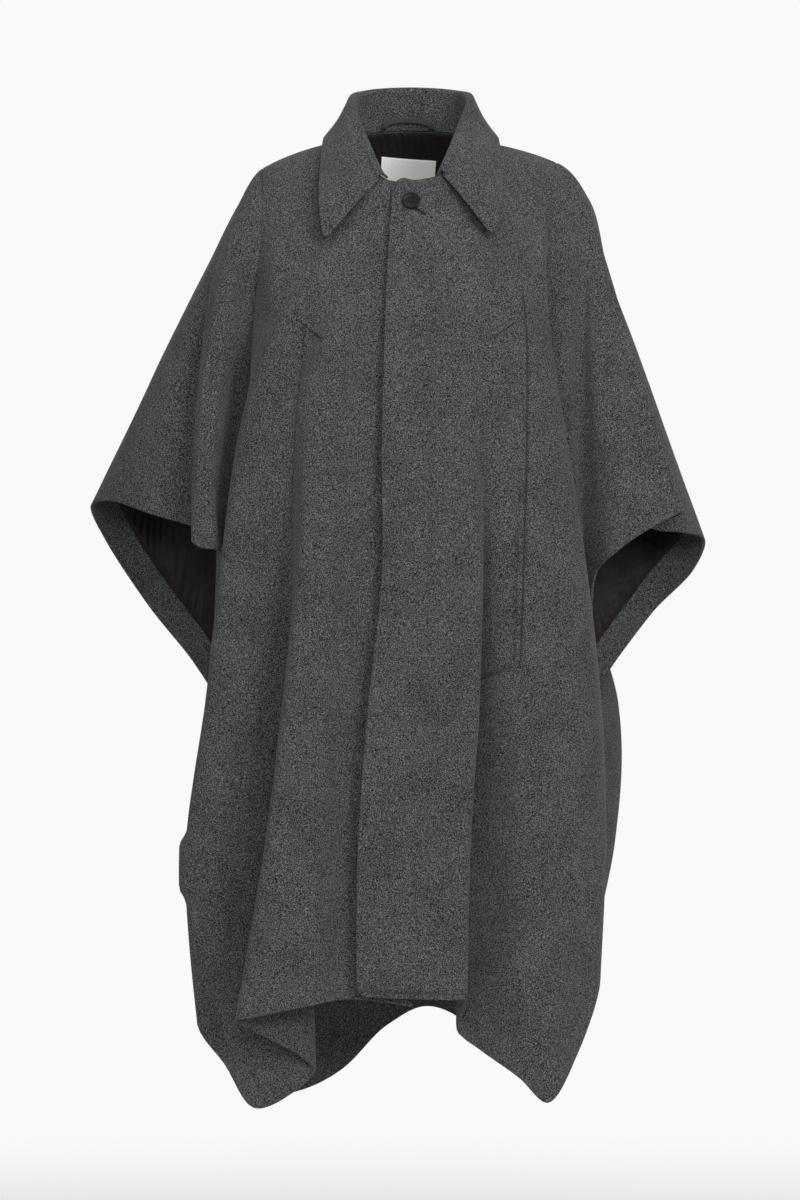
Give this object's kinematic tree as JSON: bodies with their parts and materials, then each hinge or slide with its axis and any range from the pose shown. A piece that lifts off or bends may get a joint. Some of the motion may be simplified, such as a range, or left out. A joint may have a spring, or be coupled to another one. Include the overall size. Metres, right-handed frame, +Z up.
{
  "type": "cape coat",
  "caption": "Wool cape coat worn open at the hem, with wide wing sleeves, a pointed fold-down collar and a concealed front fastening; hollow and lined.",
  "frame": {"origin": "midway between the two shoulder tips, level with the wearer's shoulders, where the coat is held", "axes": "+Z up, -Y out of the front, +X towards the wearer's left"},
  "size_m": [0.7408, 0.3623, 1.2301],
  "materials": {
    "wool": "brushed charcoal melange wool",
    "lining": "smooth black satin",
    "label": "white woven tape",
    "loop": "dark woven tape",
    "button": "dark horn-like, half gloss"
  },
  "bodies": {
    "root": {"back": "wool", "button": "button", "chest_dart_left": "wool", "chest_dart_right": "wool", "collar": "wool", "facing_back": "wool", "facing_left": "wool", "facing_right": "wool", "facing_sleeve_left": "wool", "facing_sleeve_right": "wool", "front_left": "wool", "front_right": "wool", "hanger_loop": "loop", "label": "label", "lining_back": "lining", "lining_left": "lining", "lining_right": "lining", "lining_sleeve_left": "lining", "lining_sleeve_right": "lining", "sleeve_left": "wool", "sleeve_right": "wool"}
  },
  "joints": []
}
